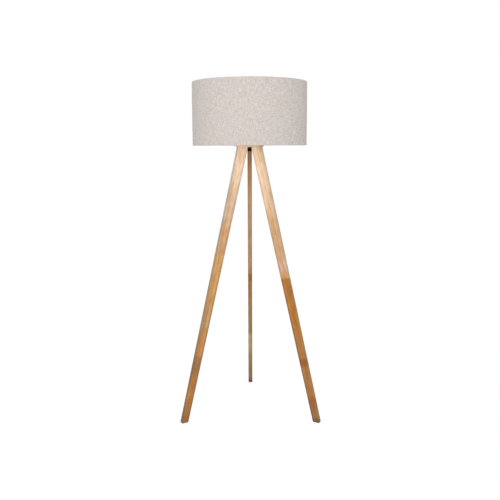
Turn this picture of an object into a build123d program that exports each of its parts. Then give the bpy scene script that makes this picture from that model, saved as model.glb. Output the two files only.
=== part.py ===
from build123d import *
import os
from math import cos, radians, sin

# Tripod floor lamp: three folding wooden legs under a round wooden hub, a switched lampholder on
# the hub, and a linen drum shade clamped to the lampholder by a threaded ring.
# Millimetres, +Z up. The origin is on the floor on the lamp's axis. The rear leg stands towards +Y.

# Stand
HUB_UNDERSIDE = 1207.0
HUB_DIAMETER = 122.0
HUB_THICKNESS = 18.0
HUB_EDGE_ROUND = 2.5
LEG_AZIMUTHS = {"rear": 90.0, "left": 210.0, "right": 330.0}
LEG_THICKNESS = 20.0
HUB_OVERHANG = 1.0
LEG_TOP_WASHER_GAP = 2.0
LEG_FOOT_INNER_RADIUS = 324.0
LEG_FOOT_WIDTH = 31.0
LEG_EDGE_ROUND = 2.0
FOOT_PAD_THICKNESS = 3.0
FOOT_PAD_INSET = 1.5
FOOT_PAD_CORNER = 2.0

# Leg hinges, let into the tops of the legs
HINGE_SIDE_WALL = 1.5
HINGE_LEAF_WIDTH = 27.0
HINGE_LEAF_THICKNESS = 1.5
HINGE_LEAF_GAP = 0.5
HINGE_AXIS_INSET = 3.0
KNUCKLE_RADIUS = 2.6
KNUCKLE_TOP_GAP = 0.1
MIDDLE_KNUCKLE_LENGTH = 6.0
HINGE_PIN_RADIUS = 1.2
HINGE_CLEARANCE = 0.3
RUNNING_CLEARANCE = 0.05

# Countersunk wood screws of the hinges
SCREW_SHANK_RADIUS = 1.3
SCREW_HEAD_RADIUS = 2.6
SCREW_POINT_LENGTH = 2.5
HUB_SCREW_LENGTH = 13.0
LEG_SCREW_LENGTH = 18.0
SCREW_SPACING = 13.0
SCREW_CLEARANCE = 0.05

# Threaded tube through the hub, with what it clamps
TUBE_RADIUS = 5.0
TUBE_BORE_RADIUS = 4.0
TUBE_ABOVE_WASHER = 7.0
TUBE_IN_GLAND = 6.0
TUBE_CLEARANCE = 0.2
THREAD_CLEARANCE = 0.05
LOWER_WASHER_RADIUS = 11.0
LOWER_WASHER_THICKNESS = 1.5
NUT_ACROSS_FLATS = 14.0
NUT_THICKNESS = 3.5
LOCK_WASHER_RADIUS = 10.5
LOCK_WASHER_THICKNESS = 1.0
LOCK_WASHER_TEETH = 12
LOCK_WASHER_TOOTH_GAP = 1.6
GLAND_INSET = 2.5
GLAND_HEIGHT = 13.5
GLAND_BORE_RADIUS = 3.75
GLAND_FLUTES = 10
GLAND_FLUTE_RADIUS = 1.2
GLAND_EDGE_ROUND = 2.0

# Lampholder
BULB_CLEARANCE = 0.5
CONTACT_SHELL_WALL = 0.5
CONTACT_SHELL_GAP = 0.9
CONTACT_SHELL_TOP_INSET = 3.0
SKIRT_WALL = 4.8
SKIRT_ABOVE_CAP = 0.6
SKIRT_THREAD_PITCH = 2.5
SKIRT_THREAD_DEPTH = 0.7
FLANGE_WIDTH = 4.5
FLANGE_THICKNESS = 4.0
SHOULDER_RISE = 9.0
SOCKET_FLOOR_DROP = 2.2
INSERT_LEDGE = 1.2
INSERT_CLEARANCE = 0.1
SPIGOT_WALL = 1.0
SPIGOT_HEIGHT = 3.0
SPIGOT_CLEARANCE = 0.2
BASE_CAP_FOOT_RADIUS = 12.0
BASE_CAP_DOME_HEIGHT = 9.0
BASE_CAP_WALL = 1.8
BASE_CAP_FLOOR = 3.5
TONGUE_LENGTH = 12.0
TONGUE_WIDTH = 5.0
TONGUE_THICKNESS = 0.5
TONGUE_RISE = 2.0
TONGUE_GAP = 2.0
TERMINAL_SPACING = 18.0
TERMINAL_HEAD_RADIUS = 2.8
TERMINAL_HEAD_HEIGHT = 2.0
TERMINAL_SHANK_RADIUS = 1.5
TERMINAL_SHANK_LENGTH = 4.0

# Turn switch in the front of the lampholder
SWITCH_BODY_LENGTH = 9.0
SWITCH_BODY_WIDTH = 12.0
SWITCH_BODY_HEIGHT = 11.0
SWITCH_BODY_GAP = 0.5
STEM_RADIUS = 2.0
STEM_HOLE_CLEARANCE = 0.3
STEM_IN_KNOB = 9.0
KNOB_GAP = 4.0
KNOB_RADIUS = 8.0
KNOB_LENGTH = 15.0
KNOB_FLUTES = 14
KNOB_FLUTE_RADIUS = 0.9
KNOB_EDGE_ROUND = 1.2

# Ring that clamps the shade to the lampholder
SEAT_CLEARANCE = 0.1
CLAMP_RING_WALL = 7.7
CLAMP_RING_HEIGHT = 10.0
CLAMP_RING_CLEARANCE = 0.3
CLAMP_RING_FLUTES = 16
CLAMP_RING_FLUTE_RADIUS = 1.6
CLAMP_RING_EDGE_ROUND = 0.8

# Bulb
BULB_TIP_RADIUS = 4.8
BULB_TIP_HEIGHT = 1.5
BULB_INSULATOR_HEIGHT = 3.0
BULB_CAP_RADIUS = 13.3
BULB_CAP_HEIGHT = 23.0
BULB_CAP_WALL = 0.8
BULB_CAP_TAPER = 2.8
BULB_CAP_TAPER_HEIGHT = 2.5
BULB_THREAD_PITCH = 3.6
BULB_THREAD_DEPTH = 0.8
BULB_THREAD_TURNS = 4
BULB_BODY_HEIGHT = 42.0
BULB_BODY_WALL = 2.0
BULB_GLOBE_RADIUS = 30.0
BULB_GLOBE_WALL = 1.5
BULB_GLOBE_STRAIGHT = 8.0
LED_BOARD_THICKNESS = 1.6
LED_BOARD_CLEARANCE = 0.2

# Shade
SHADE_DIAMETER = 500.0
SHADE_HEIGHT = 271.0
FITTER_RECESS = 47.6
FABRIC_THICKNESS = 0.8
HEM_TAIL = 8.0
LINER_THICKNESS = 0.8
GLUE_GAP = 0.1
WIRE_RADIUS = 2.0
FITTER_RIM = 2.0
FITTER_THICKNESS = 1.5
FITTER_CLEARANCE = 0.8
ARM_WELD_LENGTH = 1.5
ARM_BEND_RADIUS = 14.0
ARM_SLOT_CLEARANCE = 0.4

# Edges of the legs: at the top between the washer under the hub and the hub's rim
leg_top_inner = LOWER_WASHER_RADIUS + LEG_TOP_WASHER_GAP
leg_top_outer = HUB_DIAMETER / 2 - HUB_OVERHANG
leg_foot_outer = LEG_FOOT_INNER_RADIUS + LEG_FOOT_WIDTH

# Hinge: its axis, the ends of its leaves and the lengths of its knuckles
hinge_length = LEG_THICKNESS - 2 * HINGE_SIDE_WALL
hinge_radius = leg_top_inner + HINGE_AXIS_INSET
hinge_height = HUB_UNDERSIDE - KNUCKLE_TOP_GAP - KNUCKLE_RADIUS
knuckle_reach = KNUCKLE_RADIUS + HINGE_CLEARANCE
leaf_end_radius = hinge_radius + HINGE_LEAF_WIDTH
moving_leaf_top = HUB_UNDERSIDE - HINGE_LEAF_THICKNESS - HINGE_LEAF_GAP
mortise_floor = moving_leaf_top - HINGE_LEAF_THICKNESS
outer_knuckle_length = (hinge_length - MIDDLE_KNUCKLE_LENGTH) / 2 - HINGE_CLEARANCE
screw_middle = (hinge_radius + knuckle_reach + leaf_end_radius) / 2
screw_radii = (screw_middle - SCREW_SPACING / 2, screw_middle + SCREW_SPACING / 2)
screw_head_height = SCREW_HEAD_RADIUS - SCREW_SHANK_RADIUS

# Heights up the lamp's axis
hub_top = HUB_UNDERSIDE + HUB_THICKNESS
nut_top = HUB_UNDERSIDE - LOWER_WASHER_THICKNESS
gland_radius = LOWER_WASHER_RADIUS - GLAND_INSET
gland_top = nut_top - NUT_THICKNESS
gland_bottom = gland_top - GLAND_HEIGHT
tube_bottom = gland_top - TUBE_IN_GLAND
base_bottom = hub_top + LOCK_WASHER_THICKNESS
tube_top = base_bottom + TUBE_ABOVE_WASHER
dome_top = base_bottom + BASE_CAP_DOME_HEIGHT
switch_axis_height = dome_top + SWITCH_BODY_GAP + SWITCH_BODY_HEIGHT / 2
terminal_bottom = switch_axis_height + SWITCH_BODY_HEIGHT / 2 + SWITCH_BODY_GAP
insert_bottom = terminal_bottom + TERMINAL_HEAD_HEIGHT
base_top = insert_bottom + SPIGOT_HEIGHT
shoulder = base_top + SHOULDER_RISE
socket_floor = shoulder - SOCKET_FLOOR_DROP
fitter_bottom = shoulder + SEAT_CLEARANCE
fitter_top = fitter_bottom + FITTER_THICKNESS
clamp_bottom = fitter_top + SEAT_CLEARANCE
shade_bottom = fitter_bottom - FITTER_RECESS
shade_top = shade_bottom + SHADE_HEIGHT

# Bulb, standing on the contact tongue
bulb_tip_bottom = socket_floor + TONGUE_RISE + SEAT_CLEARANCE
bulb_insulator_bottom = bulb_tip_bottom + BULB_TIP_HEIGHT
bulb_cap_bottom = bulb_insulator_bottom + BULB_INSULATOR_HEIGHT
bulb_cap_top = bulb_cap_bottom + BULB_CAP_HEIGHT
bulb_body_top = bulb_cap_top + BULB_BODY_HEIGHT
bulb_cap_foot_radius = BULB_CAP_RADIUS - BULB_CAP_TAPER
skirt_top = bulb_cap_top + SKIRT_ABOVE_CAP

# Lampholder radii, from the bulb's cap outwards
contact_inner_radius = BULB_CAP_RADIUS + BULB_CLEARANCE
contact_outer_radius = contact_inner_radius + CONTACT_SHELL_WALL
contact_hole_radius = TONGUE_LENGTH / 2 + TONGUE_GAP
skirt_bore_radius = contact_outer_radius + CONTACT_SHELL_GAP
skirt_radius = skirt_bore_radius + SKIRT_WALL
flange_radius = skirt_radius + FLANGE_WIDTH
insert_radius = skirt_bore_radius + INSERT_LEDGE
insert_bore_radius = insert_radius + INSERT_CLEARANCE
spigot_radius = insert_bore_radius + SPIGOT_WALL
base_inner_radius = spigot_radius + SPIGOT_CLEARANCE
base_cap_radius = base_inner_radius + BASE_CAP_WALL
clamp_bore_radius = skirt_radius + CLAMP_RING_CLEARANCE
clamp_ring_radius = clamp_bore_radius + CLAMP_RING_WALL
fitter_bore_radius = skirt_radius + FITTER_CLEARANCE
fitter_radius = clamp_ring_radius + FITTER_RIM

# Switch, between the threaded tube and the wall of the base cap
switch_start = TUBE_RADIUS + SWITCH_BODY_GAP
switch_end = switch_start + SWITCH_BODY_LENGTH
knob_start = base_cap_radius + KNOB_GAP

# Shade wall, from the linen inwards
shade_radius = SHADE_DIAMETER / 2
liner_radius = shade_radius - FABRIC_THICKNESS - GLUE_GAP
wire_ring_radius = liner_radius - LINER_THICKNESS - GLUE_GAP - WIRE_RADIUS
hem_outer_radius = wire_ring_radius - WIRE_RADIUS - GLUE_GAP
hem_inner_radius = hem_outer_radius - FABRIC_THICKNESS
rolled_edge_radius = (shade_radius - hem_inner_radius) / 2
rolled_edge_centre = (shade_radius + hem_inner_radius) / 2
lower_wire_height = shade_bottom + rolled_edge_radius
upper_wire_height = shade_top - rolled_edge_radius
arm_height = fitter_bottom + FITTER_THICKNESS / 2

os.makedirs("parts", exist_ok=True)


def save(piece, node):
    """Names a finished piece and writes it as that node."""
    piece.part.label = node
    export_step(piece.part, f"parts/{node}.step")


def radial_plane(azimuth):
    """Upright plane through the lamp's axis: its x runs outwards at the azimuth, and its y runs up."""
    outwards = Vector(cos(radians(azimuth)), sin(radians(azimuth)), 0)
    return Plane(origin=(0, 0, 0), x_dir=outwards, z_dir=outwards.cross(Vector(0, 0, 1)))


def upright_axis(radius, azimuth):
    """Upright axis at a distance from the lamp's axis."""
    point = radial_plane(azimuth).from_local_coords((radius, 0, 0))
    return Axis(point, (0, 0, 1))


def corner_rectangle(low, high):
    """Rectangle between two corners of the sketch plane."""
    with Locations(((low[0] + high[0]) / 2, (low[1] + high[1]) / 2)):
        Rectangle(high[0] - low[0], high[1] - low[1])


def band(inner, outer, bottom, height):
    """Flat ring round the lamp's axis."""
    with BuildSketch(Plane.XY.offset(bottom)) as ring:
        Circle(outer)
        Circle(inner, mode=Mode.SUBTRACT)
    extrude(ring.sketch, amount=height)


def turn_screws(azimuth, height, length, way, grow=0.0, mode=Mode.ADD):
    """The two countersunk screws of one hinge leaf, or with grow the holes that take them.

    Their head faces are at the height, and they point up (way 1) or down (way -1).
    """
    for radius in screw_radii:
        with BuildSketch(radial_plane(azimuth)) as section:
            with BuildLine():
                Polyline(
                    (radius, height),
                    (radius + SCREW_HEAD_RADIUS + grow, height),
                    (radius + SCREW_SHANK_RADIUS + grow, height + way * screw_head_height),
                    (radius + SCREW_SHANK_RADIUS + grow, height + way * (length - SCREW_POINT_LENGTH)),
                    (radius, height + way * (length + grow)),
                    close=True,
                )
            make_face()
        revolve(section.sketch, axis=upright_axis(radius, azimuth), mode=mode)


def thread_grooves(radius, depth, pitch, bottom, count):
    """Half outline of a rounded thread, from the bottom upwards, as shallow grooves in the radius."""
    for turn in range(count):
        low = bottom + turn * pitch
        ThreePointArc((radius, low), (radius - depth, low + pitch / 2), (radius, low + pitch))


def wire_ring(height):
    """Ring of round wire inside an edge of the shade."""
    with BuildSketch(Plane.XZ) as section:
        with Locations((wire_ring_radius, height)):
            Circle(WIRE_RADIUS)
    revolve(section.sketch, axis=Axis.Z)


def sweep_arms(radius):
    """The three arms from the fitter out to the lower wire ring, each sloping down at 45 degrees to it."""
    bend_start = wire_ring_radius - (arm_height - lower_wire_height)
    for azimuth in LEG_AZIMUTHS.values():
        with BuildLine(radial_plane(azimuth)) as route:
            FilletPolyline(
                (fitter_radius - ARM_WELD_LENGTH, arm_height),
                (bend_start, arm_height),
                (wire_ring_radius, lower_wire_height),
                radius=ARM_BEND_RADIUS,
            )
        with BuildSketch(Plane(origin=route.line @ 0, z_dir=route.line % 0)) as section:
            Circle(radius)
        sweep(section.sketch, path=route.line)


# Hub, with pilot holes for the hinge screws
with BuildPart() as hub:
    with BuildSketch(Plane.XY.offset(HUB_UNDERSIDE)):
        Circle(HUB_DIAMETER / 2)
        Circle(TUBE_RADIUS + TUBE_CLEARANCE, mode=Mode.SUBTRACT)
    extrude(amount=HUB_THICKNESS)
    rim_edges = hub.edges().filter_by(GeomType.CIRCLE).sort_by(SortBy.RADIUS)[-2:]
    fillet(rim_edges, HUB_EDGE_ROUND)
    for azimuth in LEG_AZIMUTHS.values():
        turn_screws(
            azimuth,
            HUB_UNDERSIDE - HINGE_LEAF_THICKNESS,
            HUB_SCREW_LENGTH,
            1,
            grow=SCREW_CLEARANCE,
            mode=Mode.SUBTRACT,
        )
save(hub, "hub_disc")

with BuildPart() as hub_screws:
    for azimuth in LEG_AZIMUTHS.values():
        turn_screws(azimuth, HUB_UNDERSIDE - HINGE_LEAF_THICKNESS, HUB_SCREW_LENGTH, 1)
save(hub_screws, "hub_hinge_screws")

# Each leg with its hinge and foot pad
for side, azimuth in LEG_AZIMUTHS.items():
    plane = radial_plane(azimuth)

    with BuildPart() as leg:
        with BuildSketch(plane):
            with BuildLine():
                Polyline(
                    (leg_top_inner, HUB_UNDERSIDE),
                    (leg_top_outer, HUB_UNDERSIDE),
                    (leg_foot_outer, FOOT_PAD_THICKNESS),
                    (LEG_FOOT_INNER_RADIUS, FOOT_PAD_THICKNESS),
                    close=True,
                )
            make_face()
        extrude(amount=LEG_THICKNESS / 2, both=True)
        fillet(leg.edges().sort_by(SortBy.LENGTH)[-4:], LEG_EDGE_ROUND)
        # Notch for the knuckles, right across the inner top corner
        with BuildSketch(plane):
            corner_rectangle(
                (leg_top_inner - knuckle_reach, hinge_height - knuckle_reach),
                (hinge_radius + knuckle_reach, HUB_UNDERSIDE + knuckle_reach),
            )
        extrude(amount=LEG_THICKNESS, both=True, mode=Mode.SUBTRACT)
        # Mortise for the two leaves
        with BuildSketch(plane):
            corner_rectangle(
                (hinge_radius, mortise_floor),
                (leaf_end_radius + HINGE_CLEARANCE, HUB_UNDERSIDE + knuckle_reach),
            )
        extrude(amount=hinge_length / 2 + HINGE_CLEARANCE, both=True, mode=Mode.SUBTRACT)
        turn_screws(
            azimuth, moving_leaf_top, LEG_SCREW_LENGTH, -1, grow=SCREW_CLEARANCE, mode=Mode.SUBTRACT
        )
    save(leg, f"leg_{side}")

    with BuildPart() as fixed_leaf:
        with BuildSketch(plane):
            corner_rectangle(
                (hinge_radius, HUB_UNDERSIDE - HINGE_LEAF_THICKNESS), (leaf_end_radius, HUB_UNDERSIDE)
            )
        extrude(amount=hinge_length / 2, both=True)
        for outer_end in (-1, 1):
            knuckle_middle = outer_end * (hinge_length - outer_knuckle_length) / 2
            with BuildSketch(plane.offset(knuckle_middle)):
                with Locations((hinge_radius, hinge_height)):
                    Circle(KNUCKLE_RADIUS)
            extrude(amount=outer_knuckle_length / 2, both=True)
        with BuildSketch(plane):
            corner_rectangle(
                (hinge_radius - knuckle_reach, hinge_height - knuckle_reach),
                (hinge_radius + knuckle_reach, HUB_UNDERSIDE + knuckle_reach),
            )
        extrude(
            amount=MIDDLE_KNUCKLE_LENGTH / 2 + HINGE_CLEARANCE, both=True, mode=Mode.SUBTRACT
        )
        with BuildSketch(plane):
            with Locations((hinge_radius, hinge_height)):
                Circle(HINGE_PIN_RADIUS + RUNNING_CLEARANCE)
        extrude(amount=hinge_length, both=True, mode=Mode.SUBTRACT)
        turn_screws(
            azimuth,
            HUB_UNDERSIDE - HINGE_LEAF_THICKNESS,
            HUB_SCREW_LENGTH,
            1,
            grow=SCREW_CLEARANCE,
            mode=Mode.SUBTRACT,
        )
    save(fixed_leaf, f"hinge_{side}_fixed_leaf")

    with BuildPart() as moving_leaf:
        with BuildSketch(plane):
            corner_rectangle(
                (hinge_radius + knuckle_reach, mortise_floor), (leaf_end_radius, moving_leaf_top)
            )
        extrude(amount=hinge_length / 2, both=True)
        with BuildSketch(plane):
            corner_rectangle(
                (hinge_radius, mortise_floor), (hinge_radius + knuckle_reach, moving_leaf_top)
            )
            with Locations((hinge_radius, hinge_height)):
                Circle(KNUCKLE_RADIUS)
        extrude(amount=MIDDLE_KNUCKLE_LENGTH / 2, both=True)
        with BuildSketch(plane):
            with Locations((hinge_radius, hinge_height)):
                Circle(HINGE_PIN_RADIUS + RUNNING_CLEARANCE)
        extrude(amount=hinge_length, both=True, mode=Mode.SUBTRACT)
        turn_screws(
            azimuth, moving_leaf_top, LEG_SCREW_LENGTH, -1, grow=SCREW_CLEARANCE, mode=Mode.SUBTRACT
        )
    save(moving_leaf, f"hinge_{side}_moving_leaf")

    with BuildPart() as pin:
        with BuildSketch(plane):
            with Locations((hinge_radius, hinge_height)):
                Circle(HINGE_PIN_RADIUS)
        extrude(amount=hinge_length / 2, both=True)
    save(pin, f"hinge_{side}_pin")

    with BuildPart() as leg_screws:
        turn_screws(azimuth, moving_leaf_top, LEG_SCREW_LENGTH, -1)
    save(leg_screws, f"leg_{side}_hinge_screws")

    with BuildPart() as foot_pad:
        with BuildSketch(plane):
            corner_rectangle(
                (LEG_FOOT_INNER_RADIUS + FOOT_PAD_INSET, 0),
                (leg_foot_outer - FOOT_PAD_INSET, FOOT_PAD_THICKNESS),
            )
        extrude(amount=LEG_THICKNESS / 2 - FOOT_PAD_INSET, both=True)
        fillet(foot_pad.edges().filter_by(Axis.Z), FOOT_PAD_CORNER)
    save(foot_pad, f"foot_pad_{side}")

# Threaded tube and its fasteners
with BuildPart() as tube:
    band(TUBE_BORE_RADIUS, TUBE_RADIUS, tube_bottom, tube_top - tube_bottom)
save(tube, "threaded_tube")

with BuildPart() as lower_washer:
    band(TUBE_RADIUS + TUBE_CLEARANCE, LOWER_WASHER_RADIUS, nut_top, LOWER_WASHER_THICKNESS)
save(lower_washer, "tube_lower_washer")

with BuildPart() as nut:
    with BuildSketch(Plane.XY.offset(gland_top)):
        RegularPolygon(NUT_ACROSS_FLATS / 2, 6, major_radius=False)
        Circle(TUBE_RADIUS + THREAD_CLEARANCE, mode=Mode.SUBTRACT)
    extrude(amount=NUT_THICKNESS)
save(nut, "tube_nut")

with BuildPart() as lock_washer:
    band(TUBE_RADIUS + TUBE_CLEARANCE, LOCK_WASHER_RADIUS, hub_top, LOCK_WASHER_THICKNESS)
    with BuildSketch(Plane.XY.offset(hub_top)):
        with PolarLocations(LOCK_WASHER_RADIUS, LOCK_WASHER_TEETH):
            Rectangle(LOCK_WASHER_RADIUS - TUBE_RADIUS, LOCK_WASHER_TOOTH_GAP)
    extrude(amount=LOCK_WASHER_THICKNESS, mode=Mode.SUBTRACT)
save(lock_washer, "tooth_lock_washer")

with BuildPart() as gland:
    band(GLAND_BORE_RADIUS, gland_radius, gland_bottom, GLAND_HEIGHT)
    lower_rim = gland.edges().filter_by(GeomType.CIRCLE).group_by(Axis.Z)[0].sort_by(SortBy.RADIUS)[-1]
    fillet(lower_rim, GLAND_EDGE_ROUND)
    with BuildSketch(Plane.XY.offset(tube_bottom)):
        Circle(TUBE_RADIUS + THREAD_CLEARANCE)
    extrude(amount=gland_top - tube_bottom, mode=Mode.SUBTRACT)
    with BuildSketch(Plane.XY.offset(gland_bottom)):
        with PolarLocations(gland_radius, GLAND_FLUTES):
            Circle(GLAND_FLUTE_RADIUS)
    extrude(amount=GLAND_HEIGHT, mode=Mode.SUBTRACT)
save(gland, "cord_gland")

# Lampholder
with BuildPart() as base_cap:
    with BuildSketch(Plane.XZ):
        with BuildLine():
            Polyline((0, base_bottom), (BASE_CAP_FOOT_RADIUS, base_bottom))
            SagittaArc(
                (BASE_CAP_FOOT_RADIUS, base_bottom), (base_cap_radius, dome_top), -BASE_CAP_WALL
            )
            Polyline(
                (base_cap_radius, dome_top),
                (base_cap_radius, base_top),
                (base_inner_radius, base_top),
                (base_inner_radius, dome_top),
                (BASE_CAP_FOOT_RADIUS, base_bottom + BASE_CAP_FLOOR),
                (0, base_bottom + BASE_CAP_FLOOR),
                (0, base_bottom),
            )
        make_face()
    revolve(axis=Axis.Z)
    with BuildSketch(Plane.XY.offset(base_bottom)):
        Circle(TUBE_RADIUS + THREAD_CLEARANCE)
    extrude(amount=BASE_CAP_FLOOR, mode=Mode.SUBTRACT)
    with BuildSketch(Plane.XZ):
        with Locations((0, switch_axis_height)):
            Circle(STEM_RADIUS + STEM_HOLE_CLEARANCE)
    extrude(amount=2 * base_cap_radius, mode=Mode.SUBTRACT)
save(base_cap, "holder_base_cap")

skirt_threads = int((skirt_top - shoulder - SKIRT_THREAD_PITCH) / SKIRT_THREAD_PITCH)
with BuildPart() as holder_shell:
    with BuildSketch(Plane.XZ):
        with BuildLine():
            Polyline(
                (insert_bore_radius, insert_bottom),
                (spigot_radius, insert_bottom),
                (spigot_radius, base_top),
                (base_cap_radius, base_top),
                (base_cap_radius, shoulder - FLANGE_THICKNESS),
                (flange_radius, shoulder - FLANGE_THICKNESS),
                (flange_radius, shoulder),
                (skirt_radius, shoulder),
            )
            thread_grooves(skirt_radius, SKIRT_THREAD_DEPTH, SKIRT_THREAD_PITCH, shoulder, skirt_threads)
            Polyline(
                (skirt_radius, shoulder + skirt_threads * SKIRT_THREAD_PITCH),
                (skirt_radius, skirt_top),
                (skirt_bore_radius, skirt_top),
                (skirt_bore_radius, socket_floor + INSERT_CLEARANCE),
                (insert_bore_radius, socket_floor + INSERT_CLEARANCE),
                (insert_bore_radius, insert_bottom),
            )
        make_face()
    revolve(axis=Axis.Z)
save(holder_shell, "holder_shell")

with BuildPart() as insert:
    with BuildSketch(Plane.XY.offset(insert_bottom)):
        Circle(insert_radius)
        with GridLocations(TERMINAL_SPACING, 0, 2, 1):
            Circle(TERMINAL_SHANK_RADIUS + THREAD_CLEARANCE, mode=Mode.SUBTRACT)
    extrude(amount=socket_floor - insert_bottom)
save(insert, "holder_insert")

with BuildPart() as terminal_screws:
    with BuildSketch(Plane.XY.offset(insert_bottom)):
        with GridLocations(TERMINAL_SPACING, 0, 2, 1):
            Circle(TERMINAL_SHANK_RADIUS)
    extrude(amount=TERMINAL_SHANK_LENGTH)
    with BuildSketch(Plane.XY.offset(terminal_bottom)):
        with GridLocations(TERMINAL_SPACING, 0, 2, 1):
            Circle(TERMINAL_HEAD_RADIUS)
    extrude(amount=TERMINAL_HEAD_HEIGHT)
save(terminal_screws, "terminal_screws")

with BuildPart() as screw_contact:
    with BuildSketch(Plane.XZ):
        with BuildLine():
            Polyline(
                (contact_hole_radius, socket_floor),
                (contact_outer_radius, socket_floor),
                (contact_outer_radius, skirt_top - CONTACT_SHELL_TOP_INSET),
                (contact_inner_radius, skirt_top - CONTACT_SHELL_TOP_INSET),
                (contact_inner_radius, socket_floor + CONTACT_SHELL_WALL),
                (contact_hole_radius, socket_floor + CONTACT_SHELL_WALL),
                close=True,
            )
        make_face()
    revolve(axis=Axis.Z)
save(screw_contact, "holder_screw_contact")

with BuildPart() as tongue:
    with BuildSketch(Plane.XZ):
        with BuildLine():
            Polyline(
                (-TONGUE_LENGTH / 2, socket_floor),
                (-TONGUE_LENGTH / 4, socket_floor),
                (TONGUE_LENGTH / 4, socket_floor + TONGUE_RISE - TONGUE_THICKNESS),
                (TONGUE_LENGTH / 2, socket_floor + TONGUE_RISE - TONGUE_THICKNESS),
                (TONGUE_LENGTH / 2, socket_floor + TONGUE_RISE),
                (TONGUE_LENGTH / 4, socket_floor + TONGUE_RISE),
                (-TONGUE_LENGTH / 4, socket_floor + TONGUE_THICKNESS),
                (-TONGUE_LENGTH / 2, socket_floor + TONGUE_THICKNESS),
                close=True,
            )
        make_face()
    extrude(amount=TONGUE_WIDTH / 2, both=True)
save(tongue, "holder_contact_tongue")

# Turn switch: its body inside the base cap, its stem out through the front, and its knob
with BuildPart() as switch_body:
    with BuildSketch(Plane.XZ.offset(switch_start)):
        with Locations((0, switch_axis_height)):
            Rectangle(SWITCH_BODY_WIDTH, SWITCH_BODY_HEIGHT)
    extrude(amount=SWITCH_BODY_LENGTH)
save(switch_body, "switch_body")

with BuildPart() as stem:
    with BuildSketch(Plane.XZ.offset(switch_end + SEAT_CLEARANCE)):
        with Locations((0, switch_axis_height)):
            Circle(STEM_RADIUS)
    extrude(amount=knob_start + STEM_IN_KNOB - switch_end - SEAT_CLEARANCE)
save(stem, "switch_stem")

with BuildPart() as knob:
    with BuildSketch(Plane.XZ.offset(knob_start)):
        with Locations((0, switch_axis_height)):
            Circle(KNOB_RADIUS)
    extrude(amount=KNOB_LENGTH)
    knob_rims = knob.edges().filter_by(GeomType.CIRCLE)
    fillet(knob_rims, KNOB_EDGE_ROUND)
    with BuildSketch(Plane.XZ.offset(knob_start)):
        with Locations((0, switch_axis_height)):
            with PolarLocations(KNOB_RADIUS, KNOB_FLUTES):
                Circle(KNOB_FLUTE_RADIUS)
    extrude(amount=KNOB_LENGTH, mode=Mode.SUBTRACT)
    with BuildSketch(Plane.XZ.offset(knob_start)):
        with Locations((0, switch_axis_height)):
            Circle(STEM_RADIUS + THREAD_CLEARANCE)
    extrude(amount=STEM_IN_KNOB + SEAT_CLEARANCE, mode=Mode.SUBTRACT)
save(knob, "switch_knob")

# Ring that clamps the shade's fitter to the shoulder of the lampholder
with BuildPart() as clamp_ring:
    band(clamp_bore_radius, clamp_ring_radius, clamp_bottom, CLAMP_RING_HEIGHT)
    outer_rims = clamp_ring.edges().filter_by(GeomType.CIRCLE).sort_by(SortBy.RADIUS)[-2:]
    fillet(outer_rims, CLAMP_RING_EDGE_ROUND)
    with BuildSketch(Plane.XY.offset(clamp_bottom)):
        with PolarLocations(clamp_ring_radius, CLAMP_RING_FLUTES):
            Circle(CLAMP_RING_FLUTE_RADIUS)
    extrude(amount=CLAMP_RING_HEIGHT, mode=Mode.SUBTRACT)
save(clamp_ring, "shade_clamp_ring")

# Bulb
with BuildPart() as bulb_tip:
    with BuildSketch(Plane.XY.offset(bulb_tip_bottom)):
        Circle(BULB_TIP_RADIUS)
    extrude(amount=BULB_TIP_HEIGHT)
    fillet(bulb_tip.edges().sort_by(Axis.Z)[0], BULB_TIP_HEIGHT / 2)
save(bulb_tip, "bulb_tip_contact")

with BuildPart() as bulb_insulator:
    with BuildSketch(Plane.XZ):
        with BuildLine():
            Polyline(
                (0, bulb_insulator_bottom),
                (BULB_TIP_RADIUS, bulb_insulator_bottom),
                (bulb_cap_foot_radius, bulb_cap_bottom),
                (0, bulb_cap_bottom),
                close=True,
            )
        make_face()
    revolve(axis=Axis.Z)
save(bulb_insulator, "bulb_insulator")

cap_thread_bottom = bulb_cap_bottom + BULB_CAP_TAPER_HEIGHT
cap_thread_top = cap_thread_bottom + BULB_THREAD_TURNS * BULB_THREAD_PITCH
cap_inner_radius = BULB_CAP_RADIUS - BULB_THREAD_DEPTH - BULB_CAP_WALL
with BuildPart() as bulb_cap:
    with BuildSketch(Plane.XZ):
        with BuildLine():
            Polyline(
                (0, bulb_cap_bottom),
                (bulb_cap_foot_radius, bulb_cap_bottom),
                (BULB_CAP_RADIUS, cap_thread_bottom),
            )
            thread_grooves(
                BULB_CAP_RADIUS, BULB_THREAD_DEPTH, BULB_THREAD_PITCH, cap_thread_bottom, BULB_THREAD_TURNS
            )
            Polyline(
                (BULB_CAP_RADIUS, cap_thread_top),
                (BULB_CAP_RADIUS, bulb_cap_top),
                (cap_inner_radius, bulb_cap_top),
                (cap_inner_radius, bulb_cap_bottom + BULB_CAP_WALL + BULB_CAP_TAPER_HEIGHT),
                (0, bulb_cap_bottom + BULB_CAP_WALL + BULB_CAP_TAPER_HEIGHT),
                (0, bulb_cap_bottom),
            )
        make_face()
    revolve(axis=Axis.Z)
save(bulb_cap, "bulb_screw_cap")

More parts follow.
